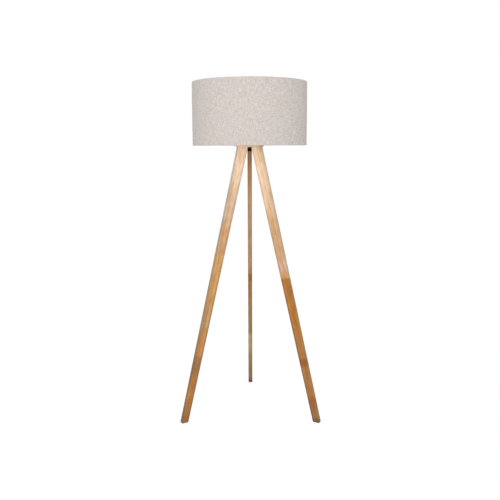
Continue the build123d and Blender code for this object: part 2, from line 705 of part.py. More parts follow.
board_bottom = bulb_body_top - LED_BOARD_THICKNESS
board_radius = BULB_GLOBE_RADIUS - BULB_BODY_WALL - LED_BOARD_CLEARANCE
with BuildPart() as bulb_body:
    with BuildSketch(Plane.XZ):
        with BuildLine():
            Polyline((cap_inner_radius, bulb_cap_top), (BULB_CAP_RADIUS, bulb_cap_top))
            Spline(
                (BULB_CAP_RADIUS, bulb_cap_top),
                (BULB_GLOBE_RADIUS, bulb_body_top),
                tangents=((0, 1), (0, 1)),
            )
            Polyline(
                (BULB_GLOBE_RADIUS, bulb_body_top),
                (BULB_GLOBE_RADIUS - BULB_BODY_WALL, bulb_body_top),
                (BULB_GLOBE_RADIUS - BULB_BODY_WALL, board_bottom),
                (cap_inner_radius, board_bottom - BULB_BODY_HEIGHT / 2),
                (cap_inner_radius, bulb_cap_top),
            )
        make_face()
    revolve(axis=Axis.Z)
save(bulb_body, "bulb_body")

with BuildPart() as led_board:
    with BuildSketch(Plane.XY.offset(board_bottom)):
        Circle(board_radius)
    extrude(amount=LED_BOARD_THICKNESS)
save(led_board, "bulb_led_board")

globe_spring = bulb_body_top + BULB_GLOBE_STRAIGHT
globe_inner_radius = BULB_GLOBE_RADIUS - BULB_GLOBE_WALL
with BuildPart() as globe:
    with BuildSketch(Plane.XZ):
        with BuildLine():
            Line((BULB_GLOBE_RADIUS, bulb_body_top), (BULB_GLOBE_RADIUS, globe_spring))
            CenterArc((0, globe_spring), BULB_GLOBE_RADIUS, 0, 90)
            Line((0, globe_spring + BULB_GLOBE_RADIUS), (0, globe_spring + globe_inner_radius))
            CenterArc((0, globe_spring), globe_inner_radius, 0, 90)
            Polyline(
                (globe_inner_radius, globe_spring),
                (globe_inner_radius, bulb_body_top),
                (BULB_GLOBE_RADIUS, bulb_body_top),
            )
        make_face()
    revolve(axis=Axis.Z)
save(globe, "bulb_globe")

# Shade frame: two wire rings, the fitter and the cranked arms welded between fitter and lower wire
with BuildPart() as lower_wire:
    wire_ring(lower_wire_height)
save(lower_wire, "shade_lower_wire")

with BuildPart() as upper_wire:
    wire_ring(upper_wire_height)
save(upper_wire, "shade_upper_wire")

with BuildPart() as fitter:
    band(fitter_bore_radius, fitter_radius, fitter_bottom, FITTER_THICKNESS)
save(fitter, "shade_fitter_ring")

with BuildPart() as arms:
    sweep_arms(WIRE_RADIUS)
    add(fitter.part, mode=Mode.SUBTRACT)
    add(lower_wire.part, mode=Mode.SUBTRACT)
save(arms, "shade_fitter_arms")

# Shade cover: linen folded over both wires, on a stiff liner
with BuildPart() as liner:
    band(
        liner_radius - LINER_THICKNESS,
        liner_radius,
        lower_wire_height,
        upper_wire_height - lower_wire_height,
    )
save(liner, "shade_liner")

with BuildPart() as arm_slots:
    sweep_arms(WIRE_RADIUS + ARM_SLOT_CLEARANCE)

with BuildPart() as linen:
    with BuildSketch(Plane.XZ):
        with BuildLine():
            inner_roll = rolled_edge_radius - FABRIC_THICKNESS
            Line((shade_radius, lower_wire_height), (shade_radius, upper_wire_height))
            CenterArc((rolled_edge_centre, upper_wire_height), rolled_edge_radius, 0, 180)
            Polyline(
                (hem_inner_radius, upper_wire_height),
                (hem_inner_radius, upper_wire_height - HEM_TAIL),
                (hem_outer_radius, upper_wire_height - HEM_TAIL),
                (hem_outer_radius, upper_wire_height),
            )
            CenterArc((rolled_edge_centre, upper_wire_height), inner_roll, 0, 180)
            Line(
                (shade_radius - FABRIC_THICKNESS, upper_wire_height),
                (shade_radius - FABRIC_THICKNESS, lower_wire_height),
            )
            CenterArc((rolled_edge_centre, lower_wire_height), inner_roll, 180, 180)
            Polyline(
                (hem_outer_radius, lower_wire_height),
                (hem_outer_radius, lower_wire_height + HEM_TAIL),
                (hem_inner_radius, lower_wire_height + HEM_TAIL),
                (hem_inner_radius, lower_wire_height),
            )
            CenterArc((rolled_edge_centre, lower_wire_height), rolled_edge_radius, 180, 180)
        make_face()
    revolve(axis=Axis.Z)
    add(arm_slots.part, mode=Mode.SUBTRACT)
save(linen, "shade_linen")
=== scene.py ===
from math import atan2, cos, hypot, pi, radians, sin

import bpy
from mathutils import Matrix, Vector


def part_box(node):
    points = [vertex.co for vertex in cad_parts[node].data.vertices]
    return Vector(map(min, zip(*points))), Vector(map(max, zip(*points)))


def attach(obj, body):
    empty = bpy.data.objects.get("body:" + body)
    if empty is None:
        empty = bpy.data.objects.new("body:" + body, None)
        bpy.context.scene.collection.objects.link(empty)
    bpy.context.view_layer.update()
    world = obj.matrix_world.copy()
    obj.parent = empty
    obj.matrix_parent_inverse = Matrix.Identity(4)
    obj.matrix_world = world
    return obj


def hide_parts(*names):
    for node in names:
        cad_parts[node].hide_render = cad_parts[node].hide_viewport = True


# Tripod floor lamp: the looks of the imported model. Metres, +Z up, the rear leg towards +Y.

# Camera: the lamp stands in the middle of a square picture
CAMERA_PLACE = (0.0, -2.9048, 1.2118)
CAMERA_PITCH = 9.09
CAMERA_ROLL = 0.2
CAMERA_LENS = 46.85
SENSOR_WIDTH = 36.0

# Light
WORLD_LIGHT = 0.70
KEY_LIGHT = 1.45
KEY_TURN = (90.0, 0.0, -4.0)
FILL_LIGHT = 0.60
FILL_TURN = (90.0, 0.0, 180.0)
SOFT_ANGLE = 40.0
FLOOR_RADIUS = 4.0
FLOOR_CORNERS = 96
FLOOR_BOUNCE = 0.90
FLOOR_SHADE = 0.30
FLOOR_GLOW = 0.80

# Legs: where their edges are at the hub and at the foot, measured from the lamp's axis
LEG_AZIMUTHS = {"rear": 90.0, "left": 210.0, "right": 330.0}
LEG_TOP_EDGES = (0.013, 0.060)
LEG_FOOT_EDGES = (0.324, 0.355)

# Wood: the joints between its staves, where its sides, inner edges and arrises darken, partly as painted
# shade, and how far each grain is drawn out along it
FINGER_PITCH = 0.0065
FINGER_LENGTH = 0.009
JOINT_LINE = 0.0006
JOINT_SHARE = 0.01
GLUE_STRENGTH = 0.45
NARROW_FACE = (0.0002, 0.0016)
INNER_SHADE_WIDTH = 0.012
ARRIS_WIDTH = 0.002
LONG_GRAIN = (1.0, 1.0, 0.035)
LONG_FLAME = (1.0, 1.0, 0.30)
LONG_FIBRES = (1.0, 1.0, 0.02)
LONG_RINGS = (1.0, 1.0, 0.014)
RING_CENTRE = (0.021, 0.034, 0.0)
RING_DEPTH = 0.18
PORE_DEPTH = 0.16

# Linen cover: one strip round the drum, turned in over both wires, lapped at the back
SHADE_RADIUS = 0.250
LINEN_THICKNESS = 0.0008
HEM_RADIUS = 0.00335
HEM_TAIL = 0.008
SEAM_AZIMUTH = 105.0
SEAM_LAP = 0.016
SEAM_TURN = 0.011
SEAM_EASE = 0.020
LAYER_STEP = 0.0009
CLOTH_WAVE = 0.00035
TAIL_PUCKER = 0.00025
TAIL_PUCKERS = 96
COLUMNS = 480
WALL_ROWS = 40
ROLL_ROWS = 10
TAIL_ROWS = 4
NOTCH_ROLL_ROWS = 2
FOLD_STEPS = 6
TURN_STEPS = 4

# Slow waves of the cloth over the liner: how many go round, where they start, how they drift per metre up
CLOTH_WAVES = ((3, 0.7, 0.0), (7, 2.1, 2.0), (16, 0.0, -3.0))

# Linen threads
THREAD_PITCH = 0.0010
THREAD_WANDER = (0.0016, 0.0016, 0.0)
LONG_WARP = (1.0, 0.022, 1.0)
LONG_WEFT = (0.022, 1.0, 1.0)
WARP_SLUBS = (1.0, 0.25, 1.0)
WEFT_SLUBS = (0.25, 1.0, 1.0)

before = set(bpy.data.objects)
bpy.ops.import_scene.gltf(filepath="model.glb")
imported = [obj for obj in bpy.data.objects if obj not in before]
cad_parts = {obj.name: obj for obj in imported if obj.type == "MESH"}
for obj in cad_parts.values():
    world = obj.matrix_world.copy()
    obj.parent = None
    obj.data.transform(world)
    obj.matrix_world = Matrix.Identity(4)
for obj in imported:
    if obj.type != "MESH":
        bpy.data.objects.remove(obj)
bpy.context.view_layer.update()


def tone(red, green, blue):
    """A colour given in 0 to 255 steps of sRGB, as a linear colour."""
    steps = [value / 255 for value in (red, green, blue)]
    linear = [s / 12.92 if s <= 0.04045 else ((s + 0.055) / 1.055) ** 2.4 for s in steps]
    return (*linear, 1.0)


# Wood tones from the pale tops of the legs to their brown feet
BUTTER = tone(250, 214, 178)
CREAM = tone(240, 209, 177)
PALE = tone(226, 192, 158)
OAT = tone(217, 184, 151)
BLUSH = tone(218, 179, 147)
SAND = tone(214, 174, 130)
ROSE = tone(215, 163, 117)
HONEY = tone(206, 160, 102)
FAWN = tone(206, 158, 113)
SYRUP = tone(202, 152, 91)
TAN = tone(193, 149, 98)
ORANGE = tone(182, 120, 50)
ALMOND = tone(178, 143, 106)
BROWN = tone(179, 123, 67)
RUSSET = tone(160, 97, 42)
CHESTNUT = tone(167, 117, 71)
AMBER = tone(196, 137, 76)
COPPER = tone(184, 113, 53)
UMBER = tone(128, 94, 60)

# Tones across the hub from its left end to its right: lighter left of the middle and darker at the right
# end, as painted light and shade from a light on the left
HUB_TONES = ((0.00, PALE), (0.30, BUTTER), (0.76, PALE), (1.00, ALMOND))
GLUE_LINE = tone(96, 62, 36)
BLACK = (0.0, 0.0, 0.0, 1.0)
WHITE = (1.0, 1.0, 1.0, 1.0)

# How far the grain of the next stave is from the grain of the first
OTHER_GRAIN = ((0.37, 0.61, 0.83, 1.0), (0.74, 0.22, 0.41, 1.0))

# How a leg's narrow faces are tinted at the hub and at the foot, partly as painted shade: the rear leg's
# face towards the front lies in shade under the hub and is darkened for it
EDGE_TONE_AND_SHADE = {
    "rear": ((0.79, 0.83, 0.88, 1.0), (0.93, 1.00, 1.00, 1.0)),
    "left": ((0.80, 0.92, 1.12, 1.0), (0.63, 0.66, 0.66, 1.0)),
    "right": ((0.84, 0.92, 1.00, 1.0), (0.96, 1.11, 1.14, 1.0)),
}

# How much darker a leg is towards its inner edge and in the eased arrises, at the start and the end of
# the length: painted shade towards the inner edge, where the legs face each other, and partly wear,
# partly painted shade in the arrises
INNER_SHADE = ((0.84, 0.85, 0.87, 1.0), (0.62, 0.63, 0.66, 1.0))
ARRIS_WEAR_AND_SHADE = ((0.92, 0.92, 0.93, 1.0), (0.68, 0.68, 0.70, 1.0))

# The two hues that the wood wanders between
PINKER = (1.0, 1.01, 1.05, 1.0)
YELLOWER = (1.0, 0.98, 0.93, 1.0)

# Tones down each leg, as shares of its length: two stops close together are a joint between two staves.
# The fall from pale tops to brown feet is partly painted light. The rear leg's darker tones, darkest next
# to the hub, are partly painted shade under the hub and between the front legs.
LEG_TONES = {
    "left": (
        (0.00, CREAM),
        (0.09, CREAM),
        (0.15, PALE),
        (0.20, OAT),
        (0.25, OAT),
        (0.29, SAND),
        (0.315, ROSE),
        (0.33, ROSE),
        (0.345, SAND),
        (0.365, SAND),
        (0.38, ROSE),
        (0.391, ROSE),
        (0.393, HONEY),
        (0.42, HONEY),
        (0.45, SYRUP),
        (0.52, SYRUP),
        (0.66, TAN),
        (0.70, AMBER),
        (0.765, AMBER),
        (0.767, CHESTNUT),
        (0.80, CHESTNUT),
        (0.84, BROWN),
        (0.91, AMBER),
        (0.95, BROWN),
        (1.00, CHESTNUT),
    ),
    "right": (
        (0.00, CREAM),
        (0.08, CREAM),
        (0.19, PALE),
        (0.28, SAND),
        (0.40, SAND),
        (0.43, BLUSH),
        (0.452, BLUSH),
        (0.468, ROSE),
        (0.480, ROSE),
        (0.482, ORANGE),
        (0.64, ORANGE),
        (0.775, BROWN),
        (0.777, RUSSET),
        (0.793, RUSSET),
        (0.81, BROWN),
        (0.90, BROWN),
        (0.93, RUSSET),
        (0.985, CHESTNUT),
        (1.00, UMBER),
    ),
    "rear": (
        (0.00, CHESTNUT),
        (0.03, CHESTNUT),
        (0.10, AMBER),
        (0.17, FAWN),
        (0.22, FAWN),
        (0.26, SAND),
        (0.34, SAND),
        (0.503, HONEY),
        (0.505, COPPER),
        (0.525, COPPER),
        (0.54, AMBER),
        (0.57, AMBER),
        (0.62, TAN),
        (0.765, TAN),
        (0.767, SAND),
        (0.83, SAND),
        (0.90, TAN),
        (0.98, TAN),
        (1.00, UMBER),
    ),
}


def feed(node, inputs):
    """Feeds a node's inputs: a socket is linked to, and any other value is set."""
    for key, value in inputs.items():
        if isinstance(value, bpy.types.NodeSocket):
            node.id_data.links.new(value, node.inputs[key])
        else:
            node.inputs[key].default_value = value


class Finish:
    """A material that grows node by node round one Principled shader."""

    def __init__(self, name, roughness, **sockets):
        self.material = bpy.data.materials.new(name)
        self.material.use_nodes = True
        self.tree = self.material.node_tree
        self.shader = self.tree.nodes["Principled BSDF"]
        self.surface(Roughness=roughness, **sockets)

    def surface(self, **sockets):
        """Sets or links the shader's sockets, whose names have underscores for spaces."""
        feed(self.shader, {key.replace("_", " "): value for key, value in sockets.items()})

    def node(self, kind, inputs, **options):
        """Adds a node with these options and inputs."""
        added = self.tree.nodes.new("ShaderNode" + kind)
        for key, value in options.items():
            setattr(added, key, value)
        feed(added, inputs)
        return added

    def math(self, operation, *values):
        """One step of arithmetic."""
        return self.node("Math", dict(enumerate(values)), operation=operation).outputs[0]

    def vector(self, operation, *values):
        """One step of vector arithmetic."""
        return self.node("VectorMath", dict(enumerate(values)), operation=operation).outputs[0]

    def place(self):
        """The point on the piece, in the frame at rest."""
        return self.node("TexCoord", {}).outputs["Object"]

    def noise(self, point, scale, detail=3.0, roughness=0.55):
        """Soft random values from 0 to 1."""
        inputs = {"Vector": point, "Scale": scale, "Detail": detail, "Roughness": roughness}
        return self.node("TexNoise", inputs).outputs["Fac"]

    def span(self, value, low, high, to_low=0.0, to_high=1.0):
        """Carries a range of values onto another, smoothly, and holds its ends."""
        inputs = {
            "Value": value,
            "From Min": low,
            "From Max": high,
            "To Min": to_low,
            "To Max": to_high,
        }
        return self.node("MapRange", inputs, interpolation_type="SMOOTHSTEP").outputs["Result"]

    def mix(self, share, first, second, way="MIX"):
        """Mixes two colours."""
        inputs = {0: share, 6: first, 7: second}
        return self.node("Mix", inputs, data_type="RGBA", blend_type=way).outputs[2]

    def ramp(self, value, stops, way="LINEAR"):
        """A colour that changes along a value, by stops of (place, colour)."""
        added = self.node("ValToRGB", {"Fac": value})
        added.color_ramp.interpolation = way
        elements = added.color_ramp.elements
        elements[0].position = stops[0][0]
        elements[0].color = stops[0][1]
        elements[1].position = stops[-1][0]
        elements[1].color = stops[-1][1]
        for position, colour in stops[1:-1]:
            elements.new(position).color = colour
        return added.outputs["Color"]

    def bump(self, height, distance, strength=1.0):
        """Raises the surface by a height from 0 to 1, up to a distance."""
        inputs = {"Height": height, "Distance": distance, "Strength": strength}
        self.surface(Normal=self.node("Bump", inputs).outputs["Normal"])


def wood(name, to_grain, tones, length, side_gap, half_depth, edge_tone_and_shade=None):
    """Lacquered light wood with its grain along the z of the grain frame.

    Two tones close together are a finger joint between staves. The side gap says how far a point is from
    the piece's sides, and the half depth where its two broad faces are. Edge tone and shade, where given,
    is how the sides are tinted at the start and at the end of the length, partly as painted shade.
    """
    finish = Finish(name, roughness=0.45)
    mapping = {
        "Vector": finish.place(),
        "Location": to_grain.to_translation(),
        "Rotation": to_grain.to_euler(),
    }
    point = finish.node("Mapping", mapping, vector_type="TEXTURE").outputs["Vector"]
    across, through, along = finish.node("SeparateXYZ", {"Vector": point}).outputs

    # Staves, and the fingers between them, which show on the narrow faces
    finger = finish.math("PINGPONG", through, FINGER_PITCH / 2)
    reach = finish.math("MULTIPLY_ADD", finger, 2 * FINGER_LENGTH / FINGER_PITCH, along)
    share = finish.math("DIVIDE", reach, length)
    base = finish.ramp(share, tones)

    # Each stave has a grain of its own, drawn out along the piece
    shares = [stop[0] for stop in tones]
    joints = [(low + high) / 2 for low, high in zip(shares, shares[1:]) if high - low < JOINT_SHARE]
    shifted = point
    if joints:
        staves = [(joint, OTHER_GRAIN[order % len(OTHER_GRAIN)]) for order, joint in enumerate(joints)]
        shifted = finish.vector("ADD", finish.ramp(share, [(0.0, BLACK)] + staves, "CONSTANT"), point)
    drawn_out = finish.vector("MULTIPLY", shifted, LONG_GRAIN)
    slow = finish.noise(drawn_out, scale=70.0, detail=2.0)
    hue = finish.noise(drawn_out, scale=38.0, detail=2.0)
    flame = finish.noise(finish.vector("MULTIPLY", shifted, LONG_FLAME), scale=75.0)
    fibres = finish.noise(finish.vector("MULTIPLY", shifted, LONG_FIBRES), scale=900.0, roughness=0.7)
    pores = finish.span(finish.noise(drawn_out, scale=1500.0, detail=1.0), 0.62, 0.72)
    ring_shape = {
        "Vector": finish.vector("MULTIPLY_ADD", shifted, LONG_RINGS, RING_CENTRE),
        "Scale": 62.0,
        "Distortion": 7.0,
        "Detail": 2.0,
        "Detail Scale": 0.7,
        "Detail Roughness": 0.5,
    }
    ring_options = {"wave_type": "RINGS", "rings_direction": "Z", "wave_profile": "SAW"}
    rings = finish.node("TexWave", ring_shape, **ring_options).outputs["Fac"]

    # Dark grain is warmer than light grain, and some of the wood is yellower
    light = finish.math("MULTIPLY_ADD", rings, -RING_DEPTH, 1 + RING_DEPTH / 2)
    light = finish.math("MULTIPLY", light, finish.span(slow, 0.35, 0.65, to_low=0.87, to_high=1.11))
    light = finish.math("MULTIPLY", light, finish.span(flame, 0.35, 0.65, to_low=0.88, to_high=1.11))
    light = finish.math("MULTIPLY", light, finish.span(fibres, 0.2, 0.8, to_low=0.91, to_high=1.07))
    light = finish.math("MULTIPLY", light, finish.math("MULTIPLY_ADD", pores, -PORE_DEPTH, 1.0))
    warm = {0: finish.math("POWER", light, 0.7), 1: light, 2: finish.math("POWER", light, 1.6)}
    colour = finish.mix(1.0, base, finish.node("CombineColor", warm).outputs[0], "MULTIPLY")
    tint = finish.mix(finish.span(hue, 0.36, 0.64), PINKER, YELLOWER)
    colour = finish.mix(1.0, colour, tint, "MULTIPLY")

    if joints:
        half = JOINT_LINE / length
        stops = [(0.0, BLACK)]
        for middle in joints:
            stops += [(middle - half, BLACK), (middle, WHITE), (middle + half, BLACK)]
        stops.append((1.0, BLACK))
        line = finish.math("MULTIPLY", finish.ramp(share, stops), GLUE_STRENGTH)
        colour = finish.mix(line, colour, GLUE_LINE)

    # The sides, the inner edge and the eased arrises are darkened: painted shade towards the inner edge,
    # partly wear and partly painted shade elsewhere
    gap = side_gap(finish, across, along)
    if edge_tone_and_shade:
        narrow = finish.span(gap, *NARROW_FACE, to_low=1.0, to_high=0.0)
        tint_and_shade = finish.mix(share, *edge_tone_and_shade)
        colour = finish.mix(narrow, colour, finish.mix(1.0, colour, tint_and_shade, "MULTIPLY"))
        inner = finish.span(across, -INNER_SHADE_WIDTH / 2, INNER_SHADE_WIDTH / 2)
        near_side = finish.span(gap, 0.0, INNER_SHADE_WIDTH, to_low=1.0, to_high=0.0)
        inner = finish.math("MULTIPLY", inner, near_side)
        tint_and_shade = finish.mix(share, *INNER_SHADE)
        colour = finish.mix(inner, colour, finish.mix(1.0, colour, tint_and_shade, "MULTIPLY"))
    face_gap = finish.math("SUBTRACT", half_depth, finish.math("ABSOLUTE", through))
    near_edge = finish.math("ADD", gap, face_gap)
    patchy = finish.math("MULTIPLY", finish.noise(point, scale=45.0), ARRIS_WIDTH / 2)
    patchy_edge = finish.math("ADD", near_edge, patchy)
    eased = finish.span(patchy_edge, 0.0, 1.5 * ARRIS_WIDTH, to_low=1.0, to_high=0.0)
    tint_and_shade = finish.mix(share, *ARRIS_WEAR_AND_SHADE)
    colour = finish.mix(eased, colour, finish.mix(1.0, colour, tint_and_shade, "MULTIPLY"))

    rough = finish.span(fibres, 0.2, 0.8, to_low=0.40, to_high=0.56)
    rough = finish.math("MULTIPLY_ADD", eased, 0.12, rough)
    finish.surface(Base_Color=colour, Roughness=rough, Specular_IOR_Level=0.3)
    finish.bump(finish.math("MULTIPLY_ADD", pores, -0.8, fibres), distance=0.00012, strength=0.6)
    return finish.material


def leg_frame(side):
    """A leg's grain frame, from the middle of its top: z runs down the leg, y across its thickness."""
    azimuth = radians(LEG_AZIMUTHS[side])
    outwards = Vector((cos(azimuth), sin(azimuth), 0.0))
    low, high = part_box(f"leg_{side}")
    top = outwards * (sum(LEG_TOP_EDGES) / 2) + Vector((0, 0, high.z))
    foot = outwards * (sum(LEG_FOOT_EDGES) / 2) + Vector((0, 0, low.z))
    down = (foot - top).normalized()
    through = Vector((0, 0, 1)).cross(outwards)
    across = through.cross(down)
    turn = Matrix((across, through, down)).transposed().to_4x4()
    return Matrix.Translation(top) @ turn, (foot - top).length


def leg_wood(side):
    """The wood of one leg, with its own staves."""
    to_grain, length = leg_frame(side)
    lean = atan2(sum(LEG_FOOT_EDGES) - sum(LEG_TOP_EDGES), 2 * length)
    top_half, foot_half = (
        (outer - inner) / 2 * cos(lean) for inner, outer in (LEG_TOP_EDGES, LEG_FOOT_EDGES)
    )
    low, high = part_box("leg_rear")

    def side_gap(finish, across, along):
        share_down = finish.math("DIVIDE", along, length)
        half_width = finish.math("MULTIPLY_ADD", share_down, foot_half - top_half, top_half)
        return finish.math("SUBTRACT", half_width, finish.math("ABSOLUTE", across))

    half_depth = (high.x - low.x) / 2
    name = f"leg_wood_{side}"
    return wood(name, to_grain, LEG_TONES[side], length, side_gap, half_depth, EDGE_TONE_AND_SHADE[side])


def hub_wood():
    """The hub's wood, with its grain from side to side."""
    low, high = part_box("hub_disc")
    middle = (low + high) / 2
    radius = (high.x - low.x) / 2
    turn = Matrix(((0, 0, 1), (1, 0, 0), (0, 1, 0))).to_4x4()
    to_grain = Matrix.Translation(Vector((low.x, middle.y, middle.z))) @ turn

    def side_gap(finish, across, along):
        from_middle = finish.math("SUBTRACT", along, radius)
        squares = finish.math("MULTIPLY_ADD", from_middle, from_middle, finish.math("POWER", across, 2.0))
        return finish.math("SUBTRACT", radius, finish.math("SQRT", squares))

    return wood("hub_wood", to_grain, HUB_TONES, 2 * radius, side_gap, (high.z - low.z) / 2)


def linen():
    """Plain-woven linen: uneven flax threads over and under each other, on the cloth's own map."""
    finish = Finish("shade_linen", roughness=0.9, Sheen_Weight=0.08, Sheen_Roughness=0.5)
    finish.surface(Specular_IOR_Level=0.15)
    point = finish.node("UVMap", {}, uv_map="cloth").outputs["UV"]
    wander = finish.node("TexNoise", {"Vector": point, "Scale": 90.0, "Detail": 2.0}).outputs["Color"]
    wander = finish.vector("MULTIPLY_ADD", wander, THREAD_WANDER, point)
    apart = finish.node("SeparateXYZ", {"Vector": wander}).outputs
    turns = pi / THREAD_PITCH
    warp_wave = finish.math("SINE", finish.math("MULTIPLY", apart[0], turns))
    weft_wave = finish.math("SINE", finish.math("MULTIPLY", apart[1], turns))
    over = finish.span(finish.math("MULTIPLY", warp_wave, weft_wave), -0.15, 0.15)

    # Each thread is thick and thin, light and dark, along its own length
    warp, weft = (
        finish.noise(finish.vector("MULTIPLY", wander, along), scale=1100.0, detail=2.0, roughness=0.6)
        for along in (LONG_WARP, LONG_WEFT)
    )
    flax = finish.node("Mix", {0: over, 2: warp, 3: weft}, data_type="FLOAT").outputs[0]
    weft_slubs, warp_slubs = (
        finish.noise(finish.vector("MULTIPLY", wander, along), scale=260.0, detail=2.0, roughness=0.5)
        for along in (WEFT_SLUBS, WARP_SLUBS)
    )
    slubs = finish.math("MULTIPLY", finish.math("ADD", weft_slubs, warp_slubs), 0.5)
    cloud = finish.noise(point, scale=24.0)

    crown = finish.node(
        "Mix",
        {0: over, 2: finish.math("ABSOLUTE", warp_wave), 3: finish.math("ABSOLUTE", weft_wave)},
        data_type="FLOAT",
    ).outputs[0]
    threads = finish.span(flax, 0.25, 0.75, to_low=0.82, to_high=1.24)
    light = finish.math("MULTIPLY", threads, finish.span(slubs, 0.35, 0.65, to_low=0.88, to_high=1.125))
    # Crowns of the threads lighter and the gaps between them darker: painted light and shade in the weave
    light = finish.math("MULTIPLY", light, finish.span(crown, 0.0, 0.7, to_low=0.84, to_high=1.06))
    grey = finish.node("CombineColor", {0: light, 1: light, 2: light}).outputs[0]
    base = finish.mix(finish.span(cloud, 0.3, 0.7), tone(202, 193, 190), tone(203, 195, 187))
    finish.surface(Base_Color=finish.mix(1.0, base, grey, "MULTIPLY"))
    height = finish.math("MULTIPLY_ADD", flax, 0.6, crown)
    finish.bump(height, distance=0.00025, strength=0.8)
    return finish.material


def moulded(name, colour, roughness, grain=900.0, depth=0.00004, fade=0.82, **sockets):
    """A moulded or coated skin: a fine texture, and a gloss and a colour that vary a little."""
    finish = Finish(name, roughness=roughness, **sockets)
    point = finish.place()
    cloud = finish.noise(point, scale=55.0, detail=4.0)
    fine = finish.noise(point, scale=grain, detail=2.0)
    darker = tuple(value * fade for value in colour[:3]) + (1.0,)
    finish.surface(Base_Color=finish.mix(finish.span(cloud, 0.3, 0.7), colour, darker))
    rough = finish.span(cloud, 0.25, 0.75, to_low=roughness * 0.8, to_high=roughness * 1.25)
    finish.surface(Roughness=rough)
    finish.bump(fine, depth, strength=0.6)
    return finish.material


def metal(name, colour, roughness, grain=(1.0, 1.0, 0.08)):
    """A plated metal: brushed along one way, with dull patches."""
    finish = Finish(name, roughness=roughness, Metallic=1.0)
    point = finish.place()
    brushed = finish.noise(finish.vector("MULTIPLY", point, grain), scale=2600.0, detail=2.0)
    cloud = finish.noise(point, scale=120.0, detail=4.0)
    dull = tuple(value * 0.72 for value in colour[:3]) + (1.0,)
    finish.surface(Base_Color=finish.mix(finish.span(cloud, 0.45, 0.75), colour, dull))
    rough = finish.span(cloud, 0.25, 0.75, to_low=roughness * 0.75, to_high=roughness * 1.35)
    finish.surface(Roughness=rough)
    finish.bump(brushed, distance=0.00002, strength=0.5)
    return finish.material


def felt(name, colour):
    """Pressed felt: short fibres in every direction."""
    finish = Finish(name, roughness=0.95, Sheen_Weight=0.4, Sheen_Roughness=0.6)
    finish.surface(Specular_IOR_Level=0.1)
    point = finish.place()
    fibres = finish.noise(point, scale=1800.0, detail=4.0, roughness=0.75)
    cloud = finish.noise(point, scale=220.0)
    lighter = tuple(min(1.0, value * 2.2) for value in colour[:3]) + (1.0,)
    base = finish.mix(finish.span(fibres, 0.35, 0.75), colour, lighter)
    finish.surface(Base_Color=finish.mix(finish.span(cloud, 0.3, 0.8, to_high=0.5), base, colour))
    finish.bump(fibres, distance=0.0003, strength=0.9)
    return finish.material


FINISHES = {
    "hub_wood": hub_wood(),
    "foot_felt": felt("foot_felt", tone(46, 37, 30)),
    "hinge_steel": metal("hinge_steel", tone(196, 192, 186), 0.34),
    "zinc_steel": metal("zinc_steel", tone(186, 188, 190), 0.38),
    "black_steel": moulded("black_steel", tone(24, 23, 22), 0.42, grain=1400.0, depth=0.00002),
    "gland_black": moulded("gland_black", tone(9, 8, 7), 0.75, Specular_IOR_Level=0.12),
    "holder_black": moulded("holder_black", tone(26, 24, 23), 0.36, Coat_Weight=0.2),
    "holder_ceramic": moulded(
        "holder_ceramic", tone(232, 229, 222), 0.25, grain=500.0, depth=0.00002, fade=0.93
    ),
    "contact_brass": metal("contact_brass", tone(214, 176, 104), 0.3),
    "switch_plastic": moulded("switch_plastic", tone(90, 85, 80), 0.45),
    "frame_wire": moulded(
        "frame_wire", tone(232, 230, 226), 0.42, grain=700.0, depth=0.00005, fade=0.92
    ),
    "shade_liner": moulded(
        "shade_liner", tone(236, 233, 228), 0.5, grain=320.0, depth=0.00003, fade=0.97
    ),
    "bulb_metal": metal("bulb_metal", tone(202, 202, 200), 0.3, grain=(1.0, 1.0, 1.0)),
    "bulb_insulator": moulded("bulb_insulator", tone(30, 26, 24), 0.2),
    "bulb_white": moulded("bulb_white", tone(236, 235, 231), 0.42, fade=0.95),
    "bulb_opal": moulded(
        "bulb_opal", tone(244, 242, 236), 0.32, grain=400.0, depth=0.00001, fade=0.98
    ),
}

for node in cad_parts.values():
    slot_name = node.data.materials[0].name
    if slot_name in FINISHES:
        node.data.materials[0] = FINISHES[slot_name]
for side in LEG_AZIMUTHS:
    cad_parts[f"leg_{side}"].data.materials[0] = leg_wood(side)


def cover_profile(low, high):
    """The cover's middle line, from its lower tail over both wires to its upper tail.

    Each point is (radius, height, outward normal, how free the wall is there, how free the tail is).
    """
    middle = LINEN_THICKNESS / 2
    wall = SHADE_RADIUS - middle
    roll = HEM_RADIUS - middle
    tail = wall - 2 * roll
    centre = wall - roll
    lower = low + HEM_RADIUS
    upper = high - HEM_RADIUS
    points = []
    for row in range(TAIL_ROWS):
        rise = 1 - row / TAIL_ROWS
        points.append((tail, lower + HEM_TAIL * rise, (-1, 0), 0.0, rise))
    for row in range(ROLL_ROWS):
        angle = pi + pi * row / ROLL_ROWS
        normal = (cos(angle), sin(angle))
        points.append((centre + roll * normal[0], lower + roll * normal[1], normal, 0.0, 0.0))
    for row in range(WALL_ROWS):
        share = row / WALL_ROWS
        points.append((wall, lower + (upper - lower) * share, (1, 0), sin(pi * share), 0.0))
    for row in range(ROLL_ROWS):
        angle = pi * row / ROLL_ROWS
        normal = (cos(angle), sin(angle))
        points.append((centre + roll * normal[0], upper + roll * normal[1], normal, 0.0, 0.0))
    for row in range(TAIL_ROWS + 1):
        drop = row / TAIL_ROWS
        points.append((tail, upper - HEM_TAIL * drop, (-1, 0), 0.0, drop))
    return points


